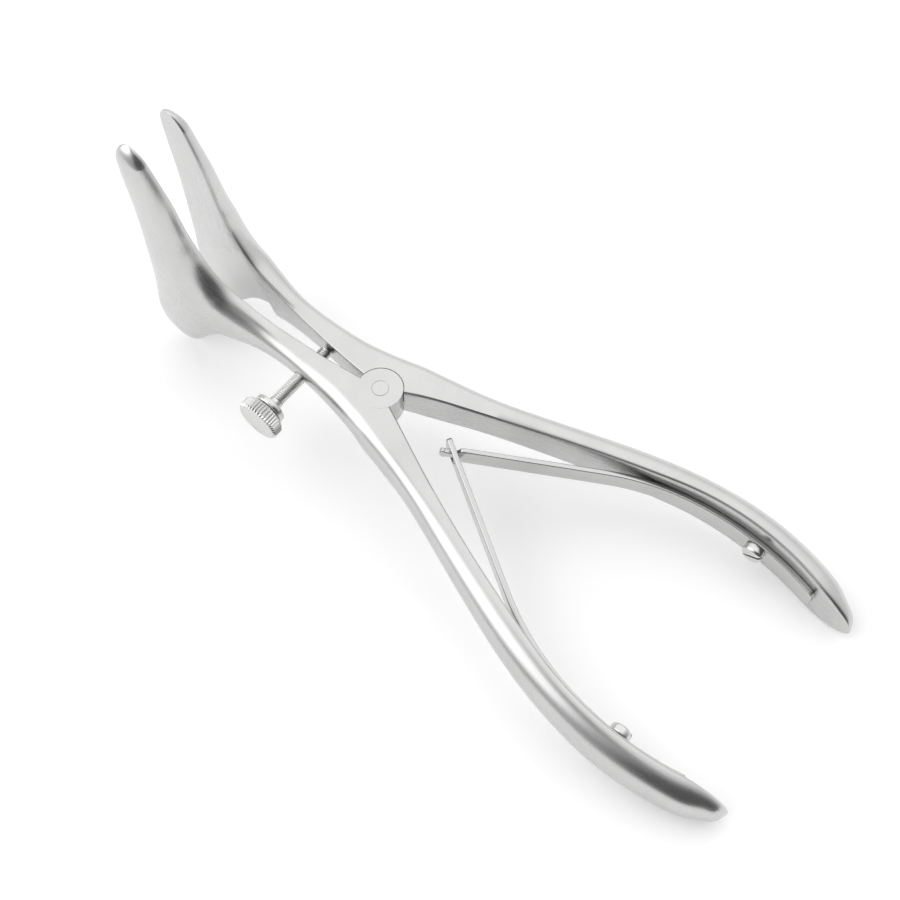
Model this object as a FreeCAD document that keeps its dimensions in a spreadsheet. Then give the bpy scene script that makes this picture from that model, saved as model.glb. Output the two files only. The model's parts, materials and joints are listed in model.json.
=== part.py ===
import FreeCAD, Part
import math
import os
import sys

import Sketcher
from FreeCAD import Placement, Rotation, Vector

# Nasal septum speculum: two forged arms on a half-lap pivot, a set screw
# with a knurled head through the left arm, and two leaf springs between
# the handles. Millimetres and degrees. The pivot axis is the Z axis, the
# blades lie towards +Y and z = 0 is the table that the instrument lies on.

SIZES = {
    # pivot and lap joint
    "pivot_top": 22.5,
    "lap_depth": 7.0,
    "boss_radius": 4.7,
    "recess_gap": 0.15,
    "lap_gap": 0.05,
    "face_gap": 0.1,
    "rest_opening": 10.65,
    "rivet_radius": 1.7,
    "rivet_head_radius": 2.5,
    "rivet_head_depth": 0.8,
    "pivot_clearance": 0.05,
    # centre line of the handle, seen from above
    "notch_radius": 7.1,
    "root_heading": 31.0,
    "bow_radius": 350.0,
    "grip_heading": 22.0,
    "grip_radius": 64.0,
    "flare_heading": -8.0,
    "flare_radius": 65.0,
    "tip_heading": 1.5,
    "droop": 8.6,
    # relief on the inner side of the blade's heel
    "crease_rear": 41.3,
    "crease_rear_rise": 11.3,
    "crease_front": 54.5,
    "crease_front_rise": 1.6,
    "relief_edge": 59.0,
    "relief_angle": 7.0,
    # set screw
    "screw_reach": 15.8,
    "screw_drop": 3.0,
    "screw_radius": 1.5,
    "screw_tip_height": 0.5,
    "screw_tip_gap": 0.05,
    "thread_clearance": 0.04,
    "screw_length": 17.2,
    "collar_radius": 3.5,
    "collar_width": 1.5,
    "collar_bevel": 0.3,
    "neck_radius": 2.3,
    "neck_width": 0.5,
    "knob_stub": 2.0,
    "knob_radius": 4.85,
    "knob_width": 2.8,
    "knob_bevel": 0.5,
    "knob_dish": 0.35,
    "knob_clearance": 0.04,
    # leaf springs and their screws
    "leaf_width": 4.5,
    "leaf_thickness": 1.2,
    "leaf_seat_gap": 0.02,
    "leaf_lift_heading": 17.0,
    "leaf_end_heading": -7.5,
    "leaf_bend_radius": 55.0,
    "latch_reach": 18.9,
    "tongue_length": 2.9,
    "tongue_width": 1.8,
    "tongue_shoulder": 1.5,
    "bead_length": 1.1,
    "bead_width": 2.5,
    "slot_half_length": 1.75,
    "slot_width": 3.0,
    "stud_heading": 4.0,
    "stud_radius": 1.1,
    "stud_clearance": 0.1,
    "stud_depth": 3.6,
    "stud_head_radius": 2.25,
    "stud_head_height": 1.9,
    "stud_head_bevel": 0.25,
    "stud_slot_width": 0.6,
    "stud_slot_depth": 0.8,
}

# Sections of the handle: arc that the station lies on, its heading, whole
# height, depth from the inner face, flat part of the top, corner radius.
HANDLE = {
    "root": ("bow", 31.0, 7.1, 8.3, 5.2, 2.2),
    "neck": ("bow", 29.0, 7.4, 5.9, 2.9, 2.2),
    "waist": ("bow", 27.0, 8.2, 5.2, 1.6, 2.3),
    "bow": ("bow", 24.5, 9.5, 5.4, 1.0, 2.5),
    "shoulder": ("bow", 22.0, 10.9, 5.5, 0.6, 2.7),
    "palm": ("grip", 12.0, 11.9, 5.4, 0.4, 2.9),
    "grip": ("grip", 2.0, 12.3, 5.6, 0.3, 3.0),
    "ring": ("grip", -7.0, 11.6, 5.6, 0.3, 3.0),
    "taper": ("flare", -4.5, 10.2, 5.1, 0.3, 2.7),
    "cap": ("flare", -1.5, 7.8, 3.8, 0.3, 2.0),
    "nub": ("flare", 0.5, 4.8, 2.6, 0.2, 1.3),
    "butt": ("flare", 1.5, 1.8, 1.2, 0.1, 0.5),
}

# Sections of the shank and blade: rear or upper edge (reach, rise over the
# lap), front or lower edge (reach, rise), depth, flat part, corner radius.
BLADE = {
    "hub": (1.2, 3.36, 1.2, -3.38, 9.5, 6.1, 2.2),
    "yoke": (6.0, 3.4, 6.0, -3.25, 7.9, 4.6, 2.2),
    "boss": (12.0, 3.65, 12.0, -2.4, 6.3, 3.3, 2.0),
    "shank": (20.0, 4.3, 20.0, -1.6, 5.0, 2.2, 1.9),
    "rise": (27.6, 5.7, 27.8, -2.3, 4.5, 1.2, 1.9),
    "bend": (33.4, 7.8, 34.7, -4.6, 4.7, 0.7, 1.9),
    "instep": (37.4, 9.8, 43.4, -9.9, 5.0, 0.5, 2.0),
    "sole": (40.2, 12.5, 51.4, -18.4, 5.1, 0.4, 2.1),
    "heel": (42.2, 15.5, 57.9, -15.1, 5.0, 0.4, 2.1),
    "ankle": (43.7, 19.0, 58.0, -2.5, 4.7, 0.3, 2.0),
    "blade": (45.2, 22.7, 57.4, 10.5, 4.1, 0.3, 1.8),
    "middle": (47.1, 29.8, 57.4, 23.5, 3.4, 0.3, 1.5),
    "upper": (49.5, 35.8, 58.2, 33.2, 2.9, 0.2, 1.3),
    "point": (51.2, 39.8, 58.2, 39.0, 2.4, 0.2, 1.1),
    "tip": (52.8, 41.9, 56.8, 41.7, 1.5, 0.1, 0.6),
}


# The sheet holds plain numbers, one cell for each size, with an alias.
doc = FreeCAD.newDocument("septum_speculum")
sheet = doc.addObject("Spreadsheet::Sheet", "dims")
row = 0


def cell(alias, value):
    global row
    row += 1
    sheet.set(f"A{row}", alias)
    sheet.set(f"B{row}", repr(float(value)))
    sheet.setAlias(f"B{row}", alias)


for alias, value in SIZES.items():
    cell(alias, value)
for name, (arc, heading, height, depth, flat, corner) in HANDLE.items():
    if name != "root":
        cell(name + "_station", heading)
    cell(name + "_height", height)
    cell(name + "_depth", depth)
    cell(name + "_flat", flat)
    cell(name + "_corner", corner)
for name, (rear, rise, front, drop, depth, flat, corner) in BLADE.items():
    cell(name + "_rear", rear)
    cell(name + "_rear_rise", rise)
    cell(name + "_front", front)
    cell(name + "_front_rise", drop)
    cell(name + "_depth", depth)
    cell(name + "_flat", flat)
    cell(name + "_corner", corner)
doc.recompute()


def size(alias):
    """The text by which an expression names one cell."""
    return "dims." + alias


def number(text):
    """What an expression comes to now, as a plain number."""
    value = sheet.evalExpression(str(text))
    return float(getattr(value, "Value", value))


# Points of the handle's inner face, in the arm's own frame (right side).
LAP = f"({size('pivot_top')} - {size('lap_depth')} / 2)"
SPARE = "(-1)"  # the sections reach this far past the inner face
HALF = f"({size('rest_opening')} / 2)"
ROOT = (f"({size('notch_radius')} * sin({size('root_heading')}))",
        f"(-{size('notch_radius')} * cos({size('root_heading')}))")


def shifted(point, length, heading):
    """A point moved along the normal of a heading."""
    return (f"({point[0]} + {length} * cos({heading}))",
            f"({point[1]} + {length} * sin({heading}))")


BOW_CENTRE = shifted(ROOT, f"-{size('bow_radius')}", size("root_heading"))
BOW_END = shifted(BOW_CENTRE, size("bow_radius"), size("grip_heading"))
GRIP_CENTRE = shifted(BOW_END, f"-{size('grip_radius')}", size("grip_heading"))
GRIP_END = shifted(GRIP_CENTRE, size("grip_radius"), size("flare_heading"))
FLARE_CENTRE = shifted(GRIP_END, size("flare_radius"), size("flare_heading"))
FLARE_END = shifted(FLARE_CENTRE, f"-{size('flare_radius')}",
                    size("tip_heading"))
ARCS = {"bow": (BOW_CENTRE, size("bow_radius")),
        "grip": (GRIP_CENTRE, size("grip_radius")),
        "flare": (FLARE_CENTRE, f"-{size('flare_radius')}")}


def sloped(reach):
    """Height of the handle's middle plane at a reach behind the pivot."""
    return f"({LAP} + tan({size('droop')}) * {reach})"


# Sketches: every corner and radius is bound to the sheet.
def plane_of(body, role):
    for feature in body.Origin.OriginFeatures:
        if feature.Role == role:
            return feature


def new_body(name):
    body = doc.addObject("PartDesign::Body", name)
    body.Label = name
    return body


def profile(body, name, plane, path, base=None, axis=None, angle=None):
    """A closed sketch. Each corner is (x, y) for a straight edge to the
    next one, or (x, y, centre x, centre y, radius, sense) for an arc."""
    sketch = body.newObject("Sketcher::SketchObject", name)
    sketch.AttachmentSupport = [(plane_of(body, plane), "")]
    sketch.MapMode = "FlatFace"
    if base or angle:
        origin = Vector(*[number(text) for text in (base or ("0", "0", "0"))])
        turn = Rotation(Vector(*(axis or (0, 0, 1))), number(angle or "0"))
        sketch.AttachmentOffset = Placement(origin, turn)
    for text, part in zip(base or (), "xyz"):
        sketch.setExpression("AttachmentOffset.Base." + part, text)
    if angle:
        sketch.setExpression("AttachmentOffset.Rotation.Angle", angle)
    corners = [(number(item[0]), number(item[1])) for item in path]
    starts, ends = [], []
    for index, item in enumerate(path):
        here = corners[index]
        there = corners[(index + 1) % len(path)]
        if len(item) == 2:
            sketch.addGeometry(Part.LineSegment(Vector(*here, 0),
                                                Vector(*there, 0)), False)
            starts.append(1)
            ends.append(2)
            continue
        centre = Vector(number(item[2]), number(item[3]), 0)
        circle = Part.Circle(centre, Vector(0, 0, 1), number(item[4]))
        first = math.atan2(here[1] - centre.y, here[0] - centre.x)
        last = math.atan2(there[1] - centre.y, there[0] - centre.x)
        if item[5] < 0:
            first, last = last, first
        arc = Part.ArcOfCircle(circle, first, last)
        sketch.addGeometry(arc, False)
        starts.append(1 if item[5] > 0 else 2)
        ends.append(2 if item[5] > 0 else 1)
    for index, item in enumerate(path):
        after = (index + 1) % len(path)
        sketch.addConstraint(Sketcher.Constraint(
            "Coincident", index, ends[index], after, starts[after]))
        for kind, text, value in (("DistanceX", item[0], corners[index][0]),
                                  ("DistanceY", item[1], corners[index][1])):
            spot = sketch.addConstraint(Sketcher.Constraint(
                kind, -1, 1, index, starts[index], value))
            sketch.setExpression(f"Constraints[{spot}]", str(text))
        if len(item) > 2:
            spot = sketch.addConstraint(Sketcher.Constraint(
                "Radius", index, number(item[4])))
            sketch.setExpression(f"Constraints[{spot}]", str(item[4]))
    return sketch


def disc(body, name, plane, x, y, radius, base=None, axis=None, angle=None):
    """A sketch with one circle."""
    sketch = body.newObject("Sketcher::SketchObject", name)
    sketch.AttachmentSupport = [(plane_of(body, plane), "")]
    sketch.MapMode = "FlatFace"
    if base or angle:
        origin = Vector(*[number(text) for text in (base or ("0", "0", "0"))])
        turn = Rotation(Vector(*(axis or (0, 0, 1))), number(angle or "0"))
        sketch.AttachmentOffset = Placement(origin, turn)
    for text, part in zip(base or (), "xyz"):
        sketch.setExpression("AttachmentOffset.Base." + part, text)
    if angle:
        sketch.setExpression("AttachmentOffset.Rotation.Angle", angle)
    centre = Vector(number(x), number(y), 0)
    sketch.addGeometry(Part.Circle(centre, Vector(0, 0, 1), number(radius)))
    for kind, text in (("DistanceX", x), ("DistanceY", y)):
        spot = sketch.addConstraint(Sketcher.Constraint(
            kind, -1, 1, 0, 3, number(text)))
        sketch.setExpression(f"Constraints[{spot}]", str(text))
    spot = sketch.addConstraint(Sketcher.Constraint("Radius", 0,
                                                    number(radius)))
    sketch.setExpression(f"Constraints[{spot}]", str(radius))
    return sketch


def feature(body, kind, name, sketch, **settings):
    """A pad, pocket or revolution on a sketch; text settings are bound."""
    item = body.newObject("PartDesign::" + kind, name)
    item.Profile = sketch
    for key, value in settings.items():
        if isinstance(value, str) and key in ("Length", "Length2"):
            setattr(item, key, number(value))
            item.setExpression(key, value)
        else:
            setattr(item, key, value)
    doc.recompute()
    return item


def cut(body, name, sketch, **settings):
    """A pocket that must take material away."""
    doc.recompute()
    before = body.Shape.Volume
    item = feature(body, "Pocket", name, sketch, **settings)
    if body.Shape.Volume > before - 1e-3:
        raise RuntimeError(name + " cuts nothing")
    return item


# Arms
def bar_section(body, name, side, key, height, base, axis, angle):
    """Flat inner side, level top and bottom, rounded corners, bowed back."""
    depth = size(key + "_depth")
    half = f"({height} / 2)"
    bow = f"min({depth} - {size(key + '_flat')}; 0.95 * {half})"
    flat = f"({depth} - {bow})"
    corner = f"min({size(key + '_corner')}; 0.75 * {bow})"
    radius = (f"(({bow} ^ 2 + {half} ^ 2 - 2 * {half} * {corner})"
              f" / (2 * ({bow} - {corner})))")
    centre = f"({depth} - {radius})"
    share = f"({radius} / ({radius} - {corner}))"
    meet_x = f"({centre} + ({flat} - {centre}) * {share})"
    meet_y = f"(({half} - {corner}) * {share})"

    def across(text):
        return f"({side} * {text})"

    path = [
        (across(SPARE), f"(-{half})"),
        (across(SPARE), half),
        (across(flat), half, across(flat), f"({half} - {corner})", corner,
         -side),
        (across(meet_x), meet_y, across(centre), "0", radius, -side),
        (across(meet_x), f"(-{meet_y})", across(flat),
         f"({corner} - {half})", corner, -side),
        (across(flat), f"(-{half})"),
    ]
    return profile(body, name, "XZ_Plane", path, base, axis, angle)


def handle_section(body, side, key):
    arc = HANDLE[key][0]
    heading = size(key + ("_heading" if key == "root" else "_station"))
    centre, radius = ARCS[arc]
    spot = shifted(centre, radius, heading)
    base = (f"({side} * {spot[0]})", sloped(spot[1]), f"(-{spot[1]})")
    return bar_section(body, f"{body.Name}_{key}", side, key,
                       size(key + "_height"), base, (0, 1, 0),
                       f"({side} * {heading})")


def blade_section(body, side, key):
    rear, rise = size(key + "_rear"), size(key + "_rear_rise")
    front, drop = size(key + "_front"), size(key + "_front_rise")
    run, climb = f"({front} - {rear})", f"({rise} - {drop})"
    base = ("0", f"({LAP} + ({rise} + {drop}) / 2)",
            f"(-({rear} + {front}) / 2)")
    return bar_section(body, f"{body.Name}_{key}", side, key,
                       f"sqrt({run} ^ 2 + {climb} ^ 2)", base, (1, 0, 0),
                       f"atan2({run}; {climb})")


def inner_outline(body, side):
    """What is cut away so that the arm has a flat inner face: the mating
    plane of shank and blade, a radial line at the pivot, and the arcs of
    the handle."""
    gap = size("face_gap")

    def across(text):
        return f"({side} * {text})"

    ahead, behind, aside = "120", "(-160)", "(-90)"
    tail = (f"({FLARE_END[0]} + 30 * sin({size('tip_heading')}))",
            f"({FLARE_END[1]} - 30 * cos({size('tip_heading')}))")
    path = [
        (across(gap), ahead),
        (across(gap), f"(-{gap} / tan({size('root_heading')}))"),
        (across(ROOT[0]), ROOT[1], across(BOW_CENTRE[0]), BOW_CENTRE[1],
         size("bow_radius"), -side),
        (across(BOW_END[0]), BOW_END[1], across(GRIP_CENTRE[0]),
         GRIP_CENTRE[1], size("grip_radius"), -side),
        (across(GRIP_END[0]), GRIP_END[1], across(FLARE_CENTRE[0]),
         FLARE_CENTRE[1], size("flare_radius"), side),
        (across(FLARE_END[0]), FLARE_END[1]),
        (across(tail[0]), tail[1]),
        (across(aside), behind),
        (across(aside), ahead),
    ]
    return profile(body, body.Name + "_inner", "XY_Plane", path)


def heel_relief(body, side):
    """A shallow wedge ground off below the crease of the blade's heel."""
    run = f"({size('crease_front')} - {size('crease_rear')})"
    fall = f"({size('crease_rear_rise')} - {size('crease_front_rise')})"
    slope = f"atan2({fall}; {run})"
    edge = size("relief_edge")
    path = [
        ("0", "0"),
        (f"(30 * cos({slope}))", f"(-30 * sin({slope}))"),
        (f"(30 * cos({slope}) - 45 * sin({slope}))",
         f"(-30 * sin({slope}) - 45 * cos({slope}))"),
        (f"(-45 * cos({edge}))", f"(-45 * sin({edge}))"),
    ]
    base = (size("crease_rear"), f"({LAP} + {size('crease_rear_rise')})", "0")
    lean = math.radians(number(slope))
    axis = (math.cos(lean), -math.sin(lean), 0)
    sketch = profile(body, body.Name + "_relief", "YZ_Plane", path, base,
                     axis, f"({-side} * {size('relief_angle')})")
    sketch.setExpression("AttachmentOffset.Rotation.Axis.x", f"cos({slope})")
    sketch.setExpression("AttachmentOffset.Rotation.Axis.y",
                         f"(-sin({slope}))")
    return sketch


def screw_axis(side):
    """Where the set screw crosses the arm, in the arm's own frame."""
    return (f"({size('screw_reach')} * cos({HALF}))",
            f"({size('pivot_top')} - {size('screw_drop')})",
            f"({-side} * {size('screw_reach')} * sin({HALF}))")


def stud_seat():
    return shifted(GRIP_CENTRE, size("grip_radius"), size("stud_heading"))


def stud_base(side, back):
    """Base of a sketch across the spring screw, on the leaf's side."""
    spot = shifted(GRIP_CENTRE, f"({size('grip_radius')} - {back})",
                   size("stud_heading"))
    return (spot[1], sloped(spot[1]), f"({side} * {spot[0]})")


def arm(name, side, upper):
    """One arm. The upper disc of the lap belongs to the left arm."""
    body = new_body(name)
    stations = {key: handle_section(body, side, key) for key in HANDLE}
    stations.update({key: blade_section(body, side, key) for key in BLADE})
    order = list(reversed(HANDLE)) + list(BLADE)
    for first, last in (("hub", "heel"), ("butt", "hub"), ("heel", "tip")):
        run = order[order.index(first):order.index(last) + 1]
        loft = body.newObject("PartDesign::AdditiveLoft",
                              f"{name}_{first}_to_{last}")
        loft.Profile = stations[run[0]]
        loft.Sections = [stations[key] for key in run[1:]]
        loft.Ruled = False
        doc.recompute()
    cut(body, name + "_inner_face", inner_outline(body, side),
        Midplane=True, Length="300")
    top, bottom = LAP, f"({LAP} - {size('lap_depth')} / 2)"
    if not upper:
        top = f"({LAP} - {size('lap_gap')})"
    low = LAP if upper else bottom
    high = size("pivot_top") if upper else top
    sketch = disc(body, name + "_disc_edge", "XY_Plane", "0", "0",
                  size("boss_radius"), ("0", "0", low))
    feature(body, "Pad", name + "_disc", sketch, Length=f"({high} - {low})")
    level = LAP if upper else f"({LAP} - {size('lap_gap')})"
    sketch = disc(body, name + "_recess_edge", "XY_Plane", "0", "0",
                  f"({size('boss_radius')} + {size('recess_gap')})",
                  ("0", "0", level))
    cut(body, name + "_recess", sketch, Length="30", Reversed=not upper)
    extra = "0" if upper else size("pivot_clearance")
    sketch = disc(body, name + "_pivot_edge", "XY_Plane", "0", "0",
                  f"({size('rivet_radius')} + {extra})")
    cut(body, name + "_pivot_hole", sketch, Midplane=True, Length="100")
    if not upper:
        countersink(body, name)
    cut(body, name + "_relief_cut", heel_relief(body, side),
        Length="12", Reversed=side < 0)
    if upper:
        sketch = disc(body, name + "_thread_edge", "YZ_Plane", "0", "0",
                      f"({size('screw_radius')} + {size('thread_clearance')})",
                      screw_axis(side), (0, 1, 0), f"(-{HALF})")
        cut(body, name + "_thread", sketch, Midplane=True, Length="60")
    sketch = disc(body, name + "_stud_edge", "YZ_Plane", "0", "0",
                  size("stud_radius"), stud_base(side, "0"), (0, 1, 0),
                  f"({side} * {size('stud_heading')})")
    cut(body, name + "_stud_hole", sketch, Length=size("stud_depth"),
        Reversed=side > 0)
    turn(body, f"({-side} * {HALF})")
    return body


def countersink(body, name):
    """Seat of the rivet's lower head in the underside."""
    gap = size("pivot_clearance")
    low = f"({LAP} - {size('lap_depth')} / 2)"
    wide = f"({size('rivet_head_radius')} + {gap})"
    path = [("0", f"({low} - 1)"), (wide, f"({low} - 1)"), (wide, low),
            (f"({size('rivet_radius')} + {gap})",
             f"({low} + {size('rivet_head_depth')})"),
            ("0", f"({low} + {size('rivet_head_depth')})")]
    sketch = profile(body, name + "_countersink_edge", "XZ_Plane", path)
    before = body.Shape.Volume
    groove = body.newObject("PartDesign::Groove", name + "_countersink")
    groove.Profile = sketch
    groove.ReferenceAxis = (sketch, ["V_Axis"])
    groove.Angle = 360.0
    doc.recompute()
    if body.Shape.Volume > before - 1e-3:
        raise RuntimeError("the countersink cuts nothing")


def turn(body, angle):
    """Turns a body about the pivot axis, bound to the sheet."""
    body.Placement = Placement(Vector(0, 0, 0),
                               Rotation(Vector(0, 0, 1), number(angle)))
    body.setExpression("Placement.Rotation.Angle", angle)


def place(body, base, angle="0"):
    """Puts a body where the sheet says, turned about Z."""
    origin = Vector(*[number(text) for text in base])
    body.Placement = Placement(origin, Rotation(Vector(0, 0, 1),
                                                number(angle)))
    for text, part in zip(base, "xyz"):
        body.setExpression("Placement.Base." + part, text)
    if angle != "0":
        body.setExpression("Placement.Rotation.Angle", angle)


def revolved(body, name, plane, path, axis):
    sketch = profile(body, name + "_profile", plane, path)
    item = body.newObject("PartDesign::Revolution", name + "_turned")
    item.Profile = sketch
    item.ReferenceAxis = (sketch, [axis])
    item.Angle = 360.0
    doc.recompute()
    return item


# Pivot rivet: plain shank, flush above, countersunk head below.
def pivot_rivet():
    body = new_body("pivot_rivet")
    low = f"({size('pivot_top')} - {size('lap_depth')})"
    path = [("0", low), (size("rivet_head_radius"), low),
            (size("rivet_radius"), f"({low} + {size('rivet_head_depth')})"),
            (size("rivet_radius"), size("pivot_top")),
            ("0", size("pivot_top"))]
    revolved(body, "pivot_rivet", "XZ_Plane", path, "V_Axis")
    return body


# Set screw: domed tip, threaded stem, collar, neck and the stub that
# carries the knurled head. Its own x = 0 is the tip.
def set_screw():
    body = new_body("set_screw")
    dome = size("screw_tip_height")
    stem = size("screw_radius")
    ball = f"(({stem} ^ 2 + {dome} ^ 2) / (2 * {dome}))"
    collar = f"(-{size('screw_length')})"
    back = f"({collar} - {size('collar_width')})"
    neck = f"({back} - {size('neck_width')})"
    stub = f"({neck} - {size('knob_stub')})"
    bevel, wide = size("collar_bevel"), size("collar_radius")
    path = [
        ("0", "0", f"(-{ball})", "0", ball, 1),
        (f"(-{dome})", stem),
        (collar, stem),
        (collar, f"({wide} - {bevel})"),
        (f"({collar} - {bevel})", wide),
        (f"({back} + {bevel})", wide),
        (back, f"({wide} - {bevel})"),
        (back, size("neck_radius")),
        (neck, size("neck_radius")),
        (neck, stem),
        (stub, stem),
        (stub, "0"),
    ]
    revolved(body, "set_screw", "XZ_Plane", path, "H_Axis")
    place(body, screw_tip())
    return body


def screw_tip():
    """The tip stands just clear of the right arm's inner face."""
    return (f"({size('screw_reach')} * tan({HALF})"
            f" + {size('face_gap')} / cos({HALF}) - {size('screw_tip_gap')})",
            size("screw_reach"),
            f"({size('pivot_top')} - {size('screw_drop')})")


# Knurled head: a disc with bevelled rims, a shallow dish outside and a
# blind bore for the stub. Its own x = 0 is the seat on the neck.
def knurled_knob():
    body = new_body("knurled_knob")
    bore = f"({size('screw_radius')} + {size('knob_clearance')})"
    floor = f"(-{size('knob_stub')} - {size('knob_clearance')})"
    face = f"(-{size('knob_width')})"
    bevel, wide = size("knob_bevel"), size("knob_radius")
    path = [
        (floor, "0"), (floor, bore), ("0", bore), ("0", f"({wide} - {bevel})"),
        (f"(-{bevel})", wide), (f"({face} + {bevel})", wide),
        (face, f"({wide} - {bevel})"), (face, f"({wide} - 2 * {bevel})"),
        (f"({face} + {size('knob_dish')})", "0"),
    ]
    revolved(body, "knurled_knob", "XZ_Plane", path, "H_Axis")
    tip = screw_tip()
    seat = (f"({tip[0]} - {size('screw_length')} - {size('collar_width')}"
            f" - {size('neck_width')})", tip[1], tip[2])
    place(body, seat)
    return body


# Leaf springs: a strip that lies on the handle's inner face, lifts off and
# runs straight to the latch on the middle plane of the instrument.
def leaf_frame():
    """Centre of the bend, heading of the free end and the latch point."""
    lift = size("leaf_lift_heading")
    back = f"({size('grip_radius')} - {size('leaf_seat_gap')})"
    spot = shifted(GRIP_CENTRE, back, lift)
    centre = shifted(spot, f"-{size('leaf_bend_radius')}", lift)
    latch = (f"({size('latch_reach')} * sin({HALF}))",
             f"(-{size('latch_reach')} * cos({HALF}))")
    middle = f"({size('leaf_bend_radius')} - {size('leaf_thickness')} / 2)"
    dx, dy = f"({latch[0]} - {centre[0]})", f"({latch[1]} - {centre[1]})"
    far = f"sqrt({dx} ^ 2 + {dy} ^ 2)"
    heading = f"(atan2({dy}; {dx}) - acos({middle} / {far}))"
    return centre, heading, latch, back


def leaf(name, side):
    body = new_body(name)
    centre, heading, latch, back = leaf_frame()
    thick = size("leaf_thickness")
    bend = size("leaf_bend_radius")
    lift, end = size("leaf_lift_heading"), size("leaf_end_heading")
    beyond = size("tongue_length")
    tip = (f"({latch[0]} - {beyond} * sin({heading}))",
           f"({latch[1]} + {beyond} * cos({heading}))")
    tip_back = shifted(tip, f"({thick} / 2)", heading)
    tip_front = shifted(tip, f"(-{thick} / 2)", heading)
    bend_back = shifted(centre, bend, heading)
    bend_front = shifted(centre, f"({bend} - {thick})", heading)
    lift_back = shifted(GRIP_CENTRE, back, lift)
    lift_front = shifted(GRIP_CENTRE, f"({back} - {thick})", lift)
    end_back = shifted(GRIP_CENTRE, back, end)
    end_front = shifted(GRIP_CENTRE, f"({back} - {thick})", end)

    def across(point):
        return f"({side} * {point[0]})", point[1]

    path = [
        across(tip_front), across(tip_back),
        across(bend_back) + across(centre) + (bend, -side),
        across(lift_back) + across(GRIP_CENTRE) + (back, -side),
        across(end_back),
        across(end_front) + across(GRIP_CENTRE)
        + (f"({back} - {thick})", side),
        across(lift_front) + across(centre) + (f"({bend} - {thick})", side),
        across(bend_front),
    ]
    sketch = profile(body, name + "_strip_edge", "XY_Plane", path)
    feature(body, "Pad", name + "_strip", sketch, Length="60", Midplane=True)
    trim(body, name, side)
    sketch = disc(body, name + "_hole_edge", "YZ_Plane", "0", "0",
                  f"({size('stud_radius')} + {size('stud_clearance')})",
                  stud_base(side, "0"), (0, 1, 0),
                  f"({side} * {size('stud_heading')})")
    cut(body, name + "_hole", sketch, Midplane=True, Length="12")
    turn(body, f"({-side} * {HALF})")
    return body


def trim(body, name, side):
    """Side view of the leaf: its edges slope with the handle, and at the
    latch one leaf narrows to a tongue while the other has a slot."""
    half = f"({size('leaf_width')} / 2)"
    latch = f"(-{size('latch_reach')} * cos({HALF}))"
    far = "(-140)"
    shoulder = f"({latch} - {size('tongue_shoulder')})"
    bead = f"({latch} + {size('tongue_length')} - {size('bead_length')})"
    narrow = half
    wide = half
    if side > 0:
        narrow = f"({size('tongue_width')} / 2)"
        wide = f"({size('bead_width')} / 2)"
    for sign, word in ((1, "over"), (-1, "under")):
        def edge(reach, width):
            return reach, f"({sloped(reach)} + {sign} * {width})"
        path = [edge(far, half), edge(shoulder, half), edge(shoulder, narrow),
                edge(bead, narrow), edge(bead, wide), edge("20", wide),
                ("20", f"({LAP} + {sign} * 60)"),
                (far, f"({LAP} + {sign} * 60)")]
        if side < 0:
            path = [edge(far, half), edge("20", half), path[-2], path[-1]]
        sketch = profile(body, f"{name}_{word}_edge", "YZ_Plane", path)
        cut(body, f"{name}_{word}", sketch, Midplane=True, Length="200")
    if side < 0:
        low = f"({latch} - {size('slot_half_length')})"
        high = f"({latch} + {size('slot_half_length')})"
        gap = f"({size('slot_width')} / 2)"
        path = [(low, f"({sloped(low)} - {gap})"),
                (high, f"({sloped(high)} - {gap})"),
                (high, f"({sloped(high)} + {gap})"),
                (low, f"({sloped(low)} + {gap})")]
        sketch = profile(body, name + "_slot_edge", "YZ_Plane", path)
        cut(body, name + "_slot", sketch, Midplane=True, Length="14")


# Spring screws: slotted cheese head on the leaf, shank in the handle. The
# piece's own x = 0 is the handle's inner face, +x goes into the handle.
def spring_screw(name, side):
    body = new_body(name)
    back = f"({size('leaf_seat_gap')} + {size('leaf_thickness')})"
    hollow = (f"({size('stud_head_radius')} ^ 2"
              f" / (2 * ({size('grip_radius')} - {back})))")
    seat = f"(-{back} - {hollow} - 0.01)"
    top = f"({seat} - {size('stud_head_height')})"
    bevel, wide = size("stud_head_bevel"), size("stud_head_radius")
    deep = f"({size('stud_depth')} - 0.1)"
    path = [(deep, "0"), (deep, size("stud_radius")),
            (seat, size("stud_radius")), (seat, wide),
            (f"({top} + {bevel})", wide), (top, f"({wide} - {bevel})"),
            (top, "0")]
    revolved(body, name, "XZ_Plane", path, "H_Axis")
    half = f"({size('stud_slot_width')} / 2)"
    path = [(f"({top} - 1)", f"(-{half})"),
            (f"({top} + {size('stud_slot_depth')})", f"(-{half})"),
            (f"({top} + {size('stud_slot_depth')})", half),
            (f"({top} - 1)", half)]
    sketch = profile(body, name + "_slot_edge", "XZ_Plane", path)
    cut(body, name + "_slot", sketch, Midplane=True, Length="20")
    spot = stud_seat()
    lean = f"({size('stud_heading')} - {HALF})"
    x = f"({spot[0]} * cos({HALF}) + {spot[1]} * sin({HALF}))"
    y = f"({spot[1]} * cos({HALF}) - {spot[0]} * sin({HALF}))"
    if side > 0:
        place(body, (x, y, sloped(spot[1])), lean)
    else:
        place(body, (f"(-{x})", y, sloped(spot[1])), f"(180 - {lean})")
    return body


parts = [
    arm("left_arm", -1, True),
    arm("right_arm", 1, False),
    pivot_rivet(),
    set_screw(),
    knurled_knob(),
    leaf("left_spring", -1),
    leaf("right_spring", 1),
    spring_screw("left_spring_screw", -1),
    spring_screw("right_spring_screw", 1),
]
doc.recompute()

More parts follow.
